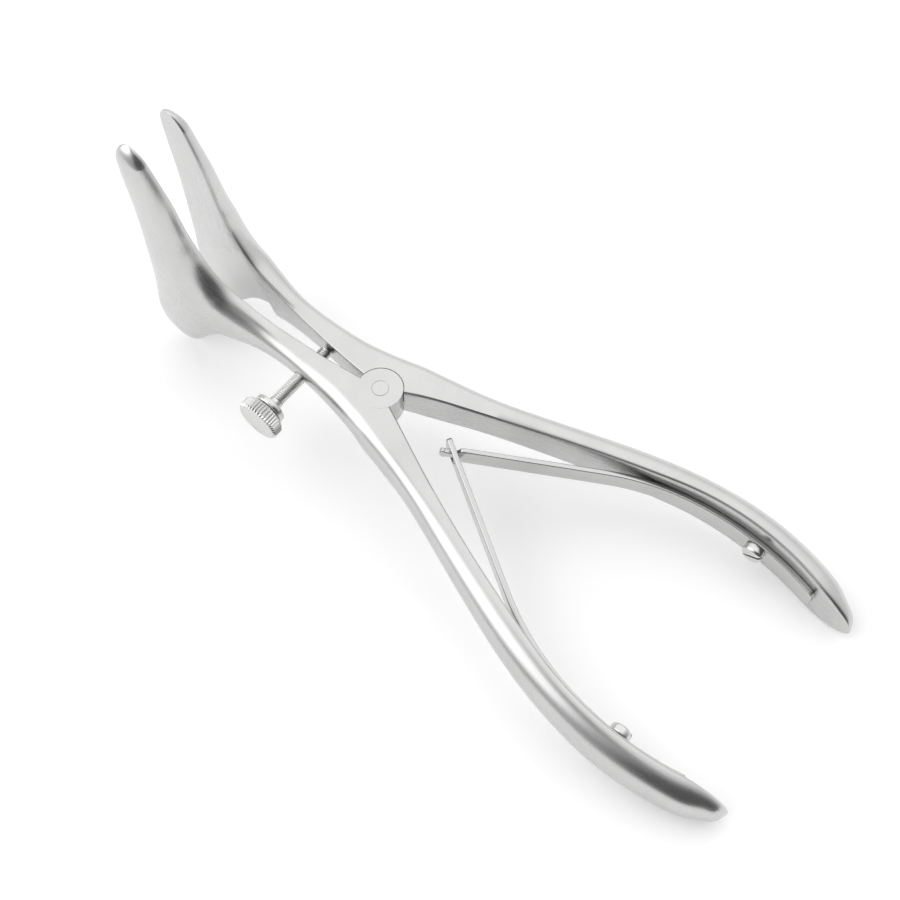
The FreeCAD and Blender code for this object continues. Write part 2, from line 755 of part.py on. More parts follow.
# Everything is checked before anything is written.
faults = [item.Name for item in doc.Objects
          if "Invalid" in item.State or "Error" in item.State]
for body in parts:
    if body.Shape.isNull() or not body.Shape.isValid():
        faults.append(body.Label + " has no valid shape")
    elif len(body.Shape.Solids) != 1:
        faults.append(f"{body.Label} has {len(body.Shape.Solids)} solids")
if faults:
    print("FAULTS", faults)
    sys.exit(1)

os.makedirs("parts", exist_ok=True)
for body in parts:
    body.Shape.exportStep(f"parts/{body.Label}.step")
    box = body.Shape.BoundBox
    print(f"{body.Label}: volume {body.Shape.Volume:.1f} mm3,"
          f" x {box.XMin:.2f} {box.XMax:.2f}, y {box.YMin:.2f} {box.YMax:.2f},"
          f" z {box.ZMin:.2f} {box.ZMax:.2f}")
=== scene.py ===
import json
import math

import bmesh
import bpy
import numpy as np
from mathutils import Matrix, Vector

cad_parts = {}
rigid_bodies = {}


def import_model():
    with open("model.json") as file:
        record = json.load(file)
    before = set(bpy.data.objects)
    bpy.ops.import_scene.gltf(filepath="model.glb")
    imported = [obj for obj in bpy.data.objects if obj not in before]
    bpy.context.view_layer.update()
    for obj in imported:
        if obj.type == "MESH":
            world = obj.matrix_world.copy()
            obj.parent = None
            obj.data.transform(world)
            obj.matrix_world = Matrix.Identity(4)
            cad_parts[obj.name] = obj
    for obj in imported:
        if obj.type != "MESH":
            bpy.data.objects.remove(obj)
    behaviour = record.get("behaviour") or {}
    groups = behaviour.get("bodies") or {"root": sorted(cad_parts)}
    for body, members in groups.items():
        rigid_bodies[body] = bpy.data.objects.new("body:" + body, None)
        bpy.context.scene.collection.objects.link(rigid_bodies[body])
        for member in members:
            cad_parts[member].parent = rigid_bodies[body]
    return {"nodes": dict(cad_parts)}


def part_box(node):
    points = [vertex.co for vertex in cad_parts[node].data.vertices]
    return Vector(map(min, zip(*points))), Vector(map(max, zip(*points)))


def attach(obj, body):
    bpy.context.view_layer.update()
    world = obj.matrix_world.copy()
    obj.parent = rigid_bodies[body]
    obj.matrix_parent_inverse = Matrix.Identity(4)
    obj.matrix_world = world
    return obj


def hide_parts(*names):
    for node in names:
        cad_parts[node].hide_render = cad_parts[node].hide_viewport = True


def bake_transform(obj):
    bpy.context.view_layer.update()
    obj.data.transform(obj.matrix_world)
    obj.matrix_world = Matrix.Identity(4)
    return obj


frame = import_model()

for spare in [thing for thing in bpy.data.objects
              if thing.name in ("Cube", "Light", "Camera")]:
    bpy.data.objects.remove(spare)
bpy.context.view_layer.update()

# Arms: two stainless steel forgings that are hinged on a half lap. They are
# ground and glass-blasted to a satin finish, with a fine grain along each
# handle left by the grinding belt. Sizes are in mm and angles in degrees.
MM = 0.001
NOISE_LOW, NOISE_HIGH = 0.3, 0.7
CLOUD_SCALE = 110.0


def steel(name, tint, roughness, grain_scale, grain_depth, cloud,
          belt=False):
    """Satin or turned steel: fine directional grain over soft clouding. The
    grain follows the piece's own belt map, or else the object's axes."""
    finish = bpy.data.materials.new(name)
    finish.use_nodes = True
    nodes, links = finish.node_tree.nodes, finish.node_tree.links
    nodes.clear()
    out = nodes.new("ShaderNodeOutputMaterial")
    metal = nodes.new("ShaderNodeBsdfPrincipled")
    links.new(metal.outputs[0], out.inputs["Surface"])
    metal.inputs["Metallic"].default_value = 1.0
    place = nodes.new("ShaderNodeTexCoord")
    spread = nodes.new("ShaderNodeMapping")
    spread.inputs["Scale"].default_value = grain_scale
    if belt:
        sweep = nodes.new("ShaderNodeUVMap")
        sweep.uv_map = "belt"
        links.new(sweep.outputs["UV"], spread.inputs["Vector"])
    else:
        links.new(place.outputs["Object"], spread.inputs["Vector"])
    grain = nodes.new("ShaderNodeTexNoise")
    grain.inputs["Scale"].default_value = 1.0
    grain.inputs["Detail"].default_value = 3.0
    links.new(spread.outputs[0], grain.inputs["Vector"])
    patches = nodes.new("ShaderNodeTexNoise")
    patches.inputs["Scale"].default_value = CLOUD_SCALE
    patches.inputs["Detail"].default_value = 4.0
    links.new(place.outputs["Object"], patches.inputs["Vector"])
    shade = nodes.new("ShaderNodeValToRGB")
    shade.color_ramp.elements[0].position = NOISE_LOW
    shade.color_ramp.elements[1].position = NOISE_HIGH
    dark = [value * (1.0 - cloud) for value in tint]
    shade.color_ramp.elements[0].color = (*dark, 1.0)
    shade.color_ramp.elements[1].color = (*tint, 1.0)
    links.new(patches.outputs["Fac"], shade.inputs["Fac"])
    links.new(shade.outputs["Color"], metal.inputs["Base Color"])
    rough = nodes.new("ShaderNodeMapRange")
    rough.inputs["From Min"].default_value = NOISE_LOW
    rough.inputs["From Max"].default_value = NOISE_HIGH
    rough.inputs["To Min"].default_value = roughness * 0.9
    rough.inputs["To Max"].default_value = roughness * 1.12
    links.new(grain.outputs["Fac"], rough.inputs["Value"])
    links.new(rough.outputs["Result"], metal.inputs["Roughness"])
    relief = nodes.new("ShaderNodeBump")
    relief.inputs["Strength"].default_value = 0.5
    relief.inputs["Distance"].default_value = grain_depth
    links.new(grain.outputs["Fac"], relief.inputs["Height"])
    links.new(relief.outputs["Normal"], metal.inputs["Normal"])
    return finish


PIVOT_TOP, LAP, GAP = 22.5, 19.0, 0.1   # top and middle of the lap, play
OPENING = 10.65                         # between the arms in the photograph
DROOP = math.tan(math.radians(8.6))     # fall of the handles to the table

# Plan of the handle's inner face: it starts at the notch behind the pivot and
# follows three arcs, with their radii and the headings where they meet.
NOTCH, BOW, GRIP, FLARE = 7.1, 350, 64, 65
BOW_START, GRIP_START, FLARE_START = 31, 22, -8

# Half lap: discs and the recesses that they turn in, the rivet's hole and the
# hair line round its head, and the tapped hole of the set screw.
DISC, RECESS, DISC_THICK = 4.7, 4.85, 3.5
RIVET_HOLE, SEAM, SEAM_DEPTH = 1.74, 1.8, 0.08
SCREW_HOLE, SCREW_AHEAD, SCREW_BELOW = 1.56, 15.8, 3.0

# Stations of the handle from the pivot back: distance along the inner face,
# whole height, depth from the inner face, level part of the top.
handle_stations = [
    (0.0, 7.1, 8.3, 5.2), (12.2, 7.4, 5.9, 2.9), (24.4, 8.2, 5.2, 1.6),
    (39.7, 9.5, 5.4, 1.0), (55.0, 10.9, 5.5, 0.6), (66.2, 11.9, 5.4, 0.4),
    (77.3, 12.3, 5.6, 0.3), (87.4, 11.6, 5.6, 0.3), (92.5, 10.2, 5.1, 0.3),
    (95.9, 7.8, 3.8, 0.3), (98.1, 4.8, 2.6, 0.2), (99.25, 1.8, 1.2, 0.1)]

# Stations of the shank and blade from the pivot forward: rear or upper edge
# and front or lower edge (reach, rise over the lap), depth, level part.
blade_stations = [
    (1.2, 3.42, 1.2, -3.42, 9.5, 6.1), (6.0, 3.46, 6.0, -3.25, 7.9, 4.6),
    (12.0, 3.65, 12.0, -2.4, 6.3, 3.3), (20.0, 4.3, 20.0, -1.6, 5.0, 2.2),
    (27.6, 5.7, 27.8, -2.3, 4.6, 1.2), (33.4, 7.8, 34.7, -4.6, 5.1, 0.7),
    (37.4, 9.8, 43.4, -9.9, 5.6, 0.5), (40.2, 12.5, 51.4, -18.4, 5.8, 0.4),
    (42.2, 15.5, 57.9, -15.1, 5.7, 0.4), (43.7, 19.0, 58.0, -2.5, 5.2, 0.3),
    (45.2, 22.7, 57.4, 10.5, 4.4, 0.3), (47.1, 29.8, 57.4, 23.5, 3.6, 0.3),
    (49.5, 35.8, 58.2, 33.2, 2.9, 0.2), (51.2, 39.8, 58.2, 39.0, 2.4, 0.2),
    (52.0, 41.9, 57.9, 41.7, 1.9, 0.1)]
BUTT_ROUND, TIP_ROUND = 0.9, 3.4
HANDLE_EDGE, BLADE_EDGE = 0.6, 0.32     # broken inner edges
LAP_REACH = 5.0                         # from the notch to the first station
BUTT_STEP, HANDLE_STEP, BLADE_STEP, TIP_STEP = 0.08, 0.5, 0.35, 0.09

# How far the level plate round the pivot lifts the top of the nearest
# stations of the handle.
PLATE = {0.0: 0.85, 12.2: 0.6, 24.4: 0.15}

# The blade is thickest near its rear edge: how far its crest stands towards
# that edge, as a share of half its width.
CREST = 0.5

# Ring of points round an arm: steps of a rounded inner edge, of the bowed
# outside and of the level inside, and how full the bow is.
EDGE_STEPS, BOW_STEPS, LEVEL_STEPS = 4, 48, 10
FULLNESS = 0.9
BELT_WIDTH = 0.3


def spline(knots, values, places):
    """Natural cubic spline through the values at the knots."""
    x, y = np.asarray(knots, float), np.asarray(values, float)
    step = np.diff(x)
    system = np.eye(len(x))
    target = np.zeros(y.shape)
    for i in range(1, len(x) - 1):
        system[i, i - 1:i + 2] = (step[i - 1], 2 * (step[i - 1] + step[i]),
                                  step[i])
        target[i] = 6 * ((y[i + 1] - y[i]) / step[i]
                         - (y[i] - y[i - 1]) / step[i - 1])
    bend = np.linalg.solve(system, target)
    found = np.clip(np.searchsorted(x, places) - 1, 0, len(step) - 1)
    run = step[found]
    left, right = x[found + 1] - places, places - x[found]
    if y.ndim > 1:
        run, left, right = run[:, None], left[:, None], right[:, None]
    return (bend[found] * left ** 3 / (6 * run)
            + bend[found + 1] * right ** 3 / (6 * run)
            + (y[found] / run - bend[found] * run / 6) * left
            + (y[found + 1] / run - bend[found + 1] * run / 6) * right)


def heading(angle):
    """The level direction at an angle from +X."""
    return np.array([math.cos(math.radians(angle)),
                     math.sin(math.radians(angle))])


notch_point = -NOTCH * heading(90 + BOW_START)
bow_centre = notch_point - BOW * heading(BOW_START)
grip_centre = bow_centre + (BOW - GRIP) * heading(GRIP_START)
flare_centre = grip_centre + (GRIP + FLARE) * heading(FLARE_START)


def inner_line(length):
    """Plan of the handle's inner face: point and outward heading at a
    distance behind the notch, on three arcs that meet smoothly."""
    first = math.radians(BOW_START - GRIP_START) * BOW
    second = math.radians(GRIP_START - FLARE_START) * GRIP
    if length < first:
        angle = BOW_START - math.degrees(length / BOW)
        return bow_centre + BOW * heading(angle), angle
    if length < first + second:
        angle = GRIP_START - math.degrees((length - first) / GRIP)
        return grip_centre + GRIP * heading(angle), angle
    angle = FLARE_START + math.degrees((length - first - second) / FLARE)
    return flare_centre - FLARE * heading(angle), angle


def lap_line(part):
    """Plan of the inner face through the lap: a smooth curve from the notch
    to the blade's first station."""
    front = np.array([GAP, blade_stations[0][0]])
    leave = 7.3 * heading(90 + BOW_START)
    arrive = np.array([0.0, LAP_REACH])
    return ((2 * part ** 3 - 3 * part ** 2 + 1) * notch_point
            + (part ** 3 - 2 * part ** 2 + part) * leave
            + (3 * part ** 2 - 2 * part ** 3) * front
            + (part ** 3 - part ** 2) * arrive)


def arm_lines():
    """Upper and lower inner edge and the outermost line of the right arm,
    from the butt of the handle to the tip of the blade, in mm."""
    knots, upper, lower, outer, level = [], [], [], [], []
    for length, height, depth, flat in reversed(handle_stations):
        point, angle = inner_line(length)
        rise = LAP + DROOP * point[1]
        knots.append(-length)
        upper.append(rise + height / 2 + PLATE.get(length, 0.0))
        lower.append(rise - height / 2)
        outer.append((*(point + depth * heading(angle)), rise))
        level.append(flat / depth)
    plan, reach = [], LAP_REACH
    for rear, top, front, bottom, depth, flat in blade_stations:
        middle = ((rear + front) / 2, (top + bottom) / 2)
        if plan:
            reach += math.dist(middle, plan[-1]) ** 0.9
        plan.append(middle)
        knots.append(reach)
        upper.append(LAP + top)
        lower.append(LAP + bottom)
        outer.append((GAP + depth, middle[0], LAP + middle[1]))
        level.append(flat / depth)
    ahead = [item[0] for item in blade_stations]
    below = [item[2] for item in blade_stations]
    reaches = knots[len(handle_stations):]
    rows = np.concatenate([
        np.arange(knots[0], knots[0] + BUTT_ROUND, BUTT_STEP),
        np.arange(knots[0] + BUTT_ROUND, -0.3, HANDLE_STEP),
        np.arange(0.0, knots[-1] - TIP_ROUND, BLADE_STEP),
        np.arange(knots[-1] - TIP_ROUND, knots[-1] - 0.02, TIP_STEP),
        [knots[-1]]])
    heights = [spline(knots, values, rows)
               for values in (upper, lower, outer, level)]
    lines = []
    for row, high, low, far, share in zip(rows, *heights):
        end = min((row - knots[0]) / BUTT_ROUND,
                  (knots[-1] - row) / TIP_ROUND, 1.0)
        crest = np.interp(row, [reaches[4], reaches[6],
                                knots[-1] - TIP_ROUND, knots[-1]],
                          [0.0, CREST, 0.6 * CREST, 0.0])
        level_top = np.interp(row, [-2.0, 1.0, reaches[1], reaches[3]],
                              [0.0, 1.0, 1.0, 0.0])
        level_top = level_top ** 2 * (3 - 2 * level_top)
        high += (PIVOT_TOP - high) * level_top
        edge = HANDLE_EDGE if row < reaches[0] else BLADE_EDGE
        if row <= 0:
            above = beneath = inner_line(-row)[0]
        elif row < reaches[0]:
            above = beneath = lap_line(row / reaches[0])
        else:
            place = np.array([row])
            above = GAP, spline(reaches, ahead, place)[0]
            beneath = GAP, spline(reaches, below, place)[0]
        fullness = max(math.sqrt(1 - (1 - end) ** 2), 0.05)
        lines.append(((*above, high), (*beneath, low), far,
                      (share, fullness, edge, crest)))
    return lines


def mesh_object(name, vertices, faces, finish):
    """A piece from its vertices and faces, in its final place."""
    mesh = bpy.data.meshes.new(name)
    mesh.from_pydata(vertices, [], faces)
    mesh.validate()
    mesh.materials.append(finish)
    piece = bpy.data.objects.new(name, mesh)
    bpy.context.scene.collection.objects.link(piece)
    return piece


def tube(name, side, vertices, along, ring_size, finish):
    """An arm or a leaf from its rings of points, in mm and with the arm
    shut: swung open, closed at both ends, with the belt's map along it."""
    swing = Matrix.Rotation(math.radians(-side * OPENING / 2), 4, "Z")
    vertices = [swing @ (Vector(point) * MM) for point in vertices]
    rows, faces = len(along), []
    for row in range(rows - 1):
        for step in range(ring_size):
            after = (step + 1) % ring_size
            faces.append((row * ring_size + step, row * ring_size + after,
                          (row + 1) * ring_size + after,
                          (row + 1) * ring_size + step))
    faces.append(tuple(range(ring_size)))
    faces.append(tuple(reversed(range((rows - 1) * ring_size,
                                      rows * ring_size))))
    piece = mesh_object(name, vertices, faces, finish)
    shape = bmesh.new()
    shape.from_mesh(piece.data)
    bmesh.ops.recalc_face_normals(shape, faces=shape.faces)
    belt = shape.loops.layers.uv.new("belt")
    for face in shape.faces:
        for loop in face.loops:
            row, step = divmod(loop.vert.index, ring_size)
            loop[belt].uv = (along[row] * MM, step * BELT_WIDTH * MM)
    shape.to_mesh(piece.data)
    shape.free()
    return piece


def arm_skin(name, side, lines):
    """The forging's skin: a ring of points for each row, level inside and
    bowed outside, with rounded inner edges and rounded ends."""
    vertices, along = [], []
    run, before = 0.0, None
    for high, low, far, (share, end, broken, crest) in lines:
        high, low, far = (np.array(point, float) for point in
                          (high, low, far))
        middle = (high + low) / 2
        half = np.linalg.norm(high - low) / 2 * end
        up = (high - low) / np.linalg.norm(high - low)
        out = far - middle
        out = out - up * (out @ up)
        depth = np.linalg.norm(out)
        out = out / depth
        depth *= end
        edge = min(broken, 0.18 * half, 0.25 * depth)
        flat = max(depth * max(min(share, 0.95), 0.0), edge)
        bow = depth - flat
        ring = []
        for step in range(EDGE_STEPS):
            turn = math.pi / 2 * step / EDGE_STEPS
            ring.append((edge - edge * math.cos(turn),
                         half - edge + edge * math.sin(turn)))
        for step in range(BOW_STEPS + 1):
            turn = math.pi * step / BOW_STEPS
            lift = math.cos(turn)
            rest = 1 - crest if lift > 0 else 1 + crest
            ring.append((
                flat + bow * abs(math.sin(turn)) ** FULLNESS, half * (
                    crest
                    + rest * math.copysign(abs(lift) ** FULLNESS, lift))))
        for step in range(1, EDGE_STEPS + 1):
            turn = math.pi / 2 * (1 - step / EDGE_STEPS)
            ring.append((edge - edge * math.cos(turn),
                         -(half - edge + edge * math.sin(turn))))
        for step in range(1, LEVEL_STEPS):
            ring.append((0.0, -(half - edge) * (1 - 2 * step / LEVEL_STEPS)))
        if before is not None:
            run += np.linalg.norm(middle - before)
        before = middle
        along.append(run)
        for x, y in ring:
            point = middle + out * x + up * y
            vertices.append((side * point[0], point[1], point[2]))
    return tube(name, side, vertices, along, len(ring), satin_steel)


def drum(radius, low, high, steps=160):
    """A plain round tool along Z for cutting or adding, in mm."""
    shape = bmesh.new()
    bmesh.ops.create_cone(shape, cap_ends=True, segments=steps,
                          radius1=radius * MM, radius2=radius * MM,
                          depth=(high - low) * MM)
    for vertex in shape.verts:
        vertex.co.z += (high + low) / 2 * MM
    return shape


def combine(piece, shape, operation):
    """Cuts a tool out of the piece, or adds it, and drops the tool."""
    mesh = bpy.data.meshes.new("tool")
    shape.normal_update()
    shape.to_mesh(mesh)
    shape.free()
    tool = bpy.data.objects.new("tool", mesh)
    bpy.context.scene.collection.objects.link(tool)
    change = piece.modifiers.new("change", "BOOLEAN")
    change.operation = operation
    change.solver = "EXACT"
    change.object = tool
    depsgraph = bpy.context.evaluated_depsgraph_get()
    made = bpy.data.meshes.new_from_object(piece.evaluated_get(depsgraph),
                                           depsgraph=depsgraph)
    piece.modifiers.clear()
    piece.data = made
    bpy.data.objects.remove(tool)


# The relief that is ground off each heel: both ends of its crease as (reach,
# rise over the lap), its lean, its width, its height and its depth.
CREASE_REAR, CREASE_FRONT = (41.3, 11.3), (54.5, 1.6)
RELIEF_LEAN = 7
RELIEF_WIDTH, RELIEF_HEIGHT, RELIEF_DEPTH = 30, 45, 9


def wedge(side):
    """The tool that grinds the relief off below the crease of the heel."""
    rear = Vector((0, CREASE_REAR[0], LAP + CREASE_REAR[1]))
    front = Vector((0, CREASE_FRONT[0], LAP + CREASE_FRONT[1]))
    along = (front - rear).normalized()
    across = Vector((0, along.z, -along.y))
    lean = math.radians(RELIEF_LEAN)
    down = across * math.cos(lean) + Vector((side * math.sin(lean), 0, 0))
    inwards = (Vector((-side * math.cos(lean), 0, 0))
               + math.sin(lean) * across)
    heel_side = along * 0.092 + down * 0.996
    sheet = [rear, rear + RELIEF_WIDTH * along,
             rear + RELIEF_WIDTH * along + RELIEF_HEIGHT * down,
             rear + RELIEF_HEIGHT * heel_side]
    shape = bmesh.new()
    near = [shape.verts.new(point * MM) for point in sheet]
    far = [shape.verts.new((point + RELIEF_DEPTH * inwards) * MM)
           for point in sheet]
    shape.faces.new(near)
    shape.faces.new(list(reversed(far)))
    for step in range(4):
        after = (step + 1) % 4
        shape.faces.new((near[after], near[step], far[step], far[after]))
    turn = Matrix.Rotation(math.radians(-side * OPENING / 2), 3, "Z")
    bmesh.ops.rotate(shape, verts=shape.verts, matrix=turn)
    bmesh.ops.recalc_face_normals(shape, faces=shape.faces)
    return shape


GROUND_AREA, GROUND_ANGLE = 50 * MM ** 2, 2.0


def smooth_by_angle(piece, degrees):
    """Smooth shading that keeps every edge sharper than the angle, and the
    rim of every wide ground face."""
    shape = bmesh.new()
    shape.from_mesh(piece.data)
    for face in shape.faces:
        face.smooth = True
    for edge in shape.edges:
        ground = any(face.calc_area() > GROUND_AREA
                     for face in edge.link_faces)
        edge.smooth = edge.calc_face_angle(0.0) <= math.radians(
            GROUND_ANGLE if ground else degrees)
    shape.to_mesh(piece.data)
    shape.free()


satin_steel = steel("satin_steel", (0.6, 0.6, 0.596), 0.28,
                    (90.0, 4200.0, 1.0), 0.00001, 0.07, belt=True)
lines = arm_lines()
for name, side in (("left_arm", -1), ("right_arm", 1)):
    arm = arm_skin(name + "_forging", side, lines)
    if side < 0:
        combine(arm, drum(RECESS, LAP - 20, LAP), "DIFFERENCE")
        combine(arm, drum(DISC, LAP, PIVOT_TOP - 0.004), "UNION")
        hole = drum(SCREW_HOLE, -25, 25)
        bmesh.ops.rotate(hole, verts=hole.verts,
                         matrix=Matrix.Rotation(math.pi / 2, 3, "Y"))
        bmesh.ops.translate(hole, verts=hole.verts,
                            vec=(0.0, SCREW_AHEAD * MM,
                                 (PIVOT_TOP - SCREW_BELOW) * MM))
        combine(arm, hole, "DIFFERENCE")
    else:
        combine(arm, drum(RECESS, LAP - 0.05, LAP + 20), "DIFFERENCE")
        combine(arm, drum(DISC, LAP - DISC_THICK, LAP - 0.05), "UNION")
    combine(arm, drum(RIVET_HOLE, LAP - 20, LAP + 20), "DIFFERENCE")
    combine(arm, drum(SEAM, PIVOT_TOP - SEAM_DEPTH, PIVOT_TOP + 1),
            "DIFFERENCE")
    combine(arm, wedge(side), "DIFFERENCE")
    smooth_by_angle(arm, 32)
    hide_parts(name)
    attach(arm, "left_body" if side < 0 else "right_body")

# Pivot rivet: a plain steel pin, peened over and ground flush with the lap,
# so that only a hair line shows round it from above.
rivet = frame["nodes"]["pivot_rivet"]
rivet.data.materials.clear()
rivet.data.materials.append(
    steel("ground_pin", (0.6, 0.6, 0.596), 0.28, (2600.0, 260.0, 2600.0),
          0.00001, 0.05))

# Set screw: a turned stainless screw with a fine rolled thread, a shoulder
# and a collar below its head. It goes through a tapped hole in the left arm
# and its tip meets the right arm.
turned_steel = steel("turned_steel", (0.66, 0.66, 0.65), 0.2,
                     (5000.0, 900.0, 900.0), 0.000008, 0.04)


def lathe(name, outline, centre, steps, finish):
    """A piece turned about a line along X. The outline is (x, radius) from
    the axis at one end to the axis at the other."""
    rings = [point for point in outline if point[1] > 0]
    vertices = [(centre[0] + outline[0][0], centre[1], centre[2])]
    for x, radius in rings:
        for step in range(steps):
            turn = 2 * math.pi * step / steps
            vertices.append((centre[0] + x,
                             centre[1] + radius * math.cos(turn),
                             centre[2] + radius * math.sin(turn)))
    vertices.append((centre[0] + outline[-1][0], centre[1], centre[2]))
    last = len(vertices) - 1
    faces = []
    for step in range(steps):
        after = (step + 1) % steps
        faces.append((0, 1 + step, 1 + after))
        for ring in range(len(rings) - 1):
            here, there = 1 + ring * steps, 1 + (ring + 1) * steps
            faces.append((here + step, there + step, there + after,
                          here + after))
        base = 1 + (len(rings) - 1) * steps
        faces.append((last, base + after, base + step))
    piece = mesh_object(name, vertices, faces, finish)
    shape = bmesh.new()
    shape.from_mesh(piece.data)
    bmesh.ops.recalc_face_normals(shape, faces=shape.faces)
    shape.to_mesh(piece.data)
    shape.free()
    return piece


def node_tree(name, sizes):
    """An empty Geometry Nodes tree with named sizes as its inputs."""
    tree = bpy.data.node_groups.new(name, "GeometryNodeTree")
    tree.interface.new_socket("Geometry", in_out="INPUT",
                              socket_type="NodeSocketGeometry")
    for label in sizes:
        tree.interface.new_socket(label, in_out="INPUT",
                                  socket_type="NodeSocketFloat")
    tree.interface.new_socket("Geometry", in_out="OUTPUT",
                              socket_type="NodeSocketGeometry")
    return tree


def sums(tree, operation, first, second=None):
    """One Math node; an input is a socket or a number."""
    node = tree.nodes.new("ShaderNodeMath")
    node.operation = operation
    for slot, value in enumerate((first, second)):
        if value is None:
            continue
        if isinstance(value, (int, float)):
            node.inputs[slot].default_value = value
        else:
            tree.links.new(value, node.inputs[slot])
    return node.outputs[0]


def grow(piece, tree, sizes, finish):
    """Runs the tree on the piece and keeps the result as a plain mesh."""
    growth = piece.modifiers.new("growth", "NODES")
    growth.node_group = tree
    for socket in tree.interface.items_tree:
        if socket.in_out == "INPUT" and socket.name in sizes:
            growth[socket.identifier] = float(sizes[socket.name])
    depsgraph = bpy.context.evaluated_depsgraph_get()
    made = bpy.data.meshes.new_from_object(piece.evaluated_get(depsgraph),
                                           depsgraph=depsgraph)
    piece.modifiers.clear()
    piece.data = made
    made.materials.clear()
    made.materials.append(finish)
    return piece


def end_tree(tree, geometry, finish):
    """Ends a tree in Realize Instances and Set Material."""
    real = tree.nodes.new("GeometryNodeRealizeInstances")
    paint = tree.nodes.new("GeometryNodeSetMaterial")
    paint.inputs["Material"].default_value = finish
    out = tree.nodes.new("NodeGroupOutput")
    tree.links.new(geometry, real.inputs["Geometry"])
    tree.links.new(real.outputs["Geometry"], paint.inputs["Geometry"])
    tree.links.new(paint.outputs["Geometry"], out.inputs["Geometry"])


def about_axis(tree):
    """Reads where each point lies about a line along X: its place along the
    line, both offsets from it, its radius and its turn."""
    given = tree.nodes.new("NodeGroupInput")
    spot = tree.nodes.new("GeometryNodeInputPosition")
    parts = tree.nodes.new("ShaderNodeSeparateXYZ")
    tree.links.new(spot.outputs[0], parts.inputs[0])
    y = sums(tree, "SUBTRACT", parts.outputs[1], given.outputs["Centre Y"])
    z = sums(tree, "SUBTRACT", parts.outputs[2], given.outputs["Centre Z"])
    radius = sums(tree, "SQRT", sums(tree, "ADD",
                                     sums(tree, "MULTIPLY", y, y),
                                     sums(tree, "MULTIPLY", z, z)))
    turn = sums(tree, "DIVIDE", sums(tree, "ARCTAN2", z, y), 2 * math.pi)
    return given, parts.outputs[0], (y, z), radius, turn


def ridges(tree, phase, steepness):
    """A wave from 1 in the grooves to 0 on the ridges, with level floors."""
    phase = sums(tree, "FRACT", sums(tree, "ADD", phase, 1000.0))
    wave = sums(tree, "ABSOLUTE", sums(tree, "SUBTRACT",
                                       sums(tree, "MULTIPLY", phase, 2.0),
                                       1.0))
    return sums(tree, "MINIMUM", sums(tree, "MULTIPLY", wave, steepness), 1.0)


def draw_in(tree, given, offsets, radius, depth):
    """Moves each point towards the axis by the depth, and ends the tree."""
    share = sums(tree, "DIVIDE", depth, sums(tree, "MAXIMUM", radius, 1e-6))
    pull = tree.nodes.new("ShaderNodeCombineXYZ")
    for slot, offset in enumerate(offsets, 1):
        tree.links.new(
            sums(tree, "MULTIPLY", sums(tree, "MULTIPLY", offset, share),
                 -1.0), pull.inputs[slot])
    move = tree.nodes.new("GeometryNodeSetPosition")
    tree.links.new(given.outputs["Geometry"], move.inputs["Geometry"])
    tree.links.new(pull.outputs[0], move.inputs["Offset"])
    end_tree(tree, move.outputs["Geometry"], turned_steel)


def thread_tree():
    """Sinks a helical groove into a round stem that lies along X."""
    tree = node_tree("rolled_thread", ("Pitch", "Depth", "Start", "End",
                                       "Centre Y", "Centre Z"))
    given, along, offsets, radius, turn = about_axis(tree)
    rows = sums(tree, "DIVIDE", along, given.outputs["Pitch"])
    groove = ridges(tree, sums(tree, "SUBTRACT", rows, turn), 1.25)
    within = sums(tree, "MULTIPLY",
                  sums(tree, "GREATER_THAN", along, given.outputs["Start"]),
                  sums(tree, "LESS_THAN", along, given.outputs["End"]))
    depth = sums(tree, "MULTIPLY", sums(tree, "MULTIPLY", groove,
                                        given.outputs["Depth"]), within)
    draw_in(tree, given, offsets, radius, depth)
    return tree


screw_low, screw_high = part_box("set_screw")
screw_y = (screw_low.y + screw_high.y) / 2
screw_z = (screw_low.z + screw_high.z) / 2
STEM_RADIUS, STEM_ROWS = 1.5 * 0.985 * MM, 250
STEM_START, STEM_END = -16.7 * MM, -0.75 * MM
PITCH, THREAD_DEPTH = 0.5, 0.3
THREAD_START, THREAD_END = -14.3, 0.8
screw_outline = [(0.0, 0.0), (-0.03 * MM, 0.45 * MM), (-0.12 * MM, 0.8 * MM),
                 (-0.32 * MM, 1.15 * MM), (-0.6 * MM, 1.4 * MM)]
for row in range(STEM_ROWS + 1):
    x = STEM_END + (STEM_START - STEM_END) * row / STEM_ROWS
    screw_outline.append((x, STEM_RADIUS))
screw_outline += [(x * MM, radius * MM) for x, radius in (
    (-16.75, 1.62), (-16.95, 1.9), (-17.15, 2.05), (-17.2, 2.1),
    (-17.2, 3.1), (-17.25, 3.3), (-17.35, 3.44), (-17.5, 3.5), (-18.4, 3.5),
    (-18.55, 3.44), (-18.65, 3.3), (-18.7, 3.1), (-18.7, 2.25),
    (-19.2, 2.25), (-19.2, 0.0))]
set_screw = lathe("set_screw_threaded", screw_outline,
                  (screw_high.x, screw_y, screw_z), 96, turned_steel)
grow(set_screw, thread_tree(),
     {"Pitch": PITCH * MM, "Depth": THREAD_DEPTH * MM,
      "Start": THREAD_START * MM, "End": THREAD_END * MM,
      "Centre Y": screw_y, "Centre Z": screw_z}, turned_steel)
smooth_by_angle(set_screw, 42)
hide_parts("set_screw")
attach(set_screw, "screw_body")

# Knurled head: a turned disc pressed on the screw, with straight knurling
# rolled into its rim, small bevels and a shallow dish in its outer face.
KNURLS = 44
KNURL_DEPTH, KNURL_ROOT, KNOB_RADIUS = 0.24, 4.4, 4.85


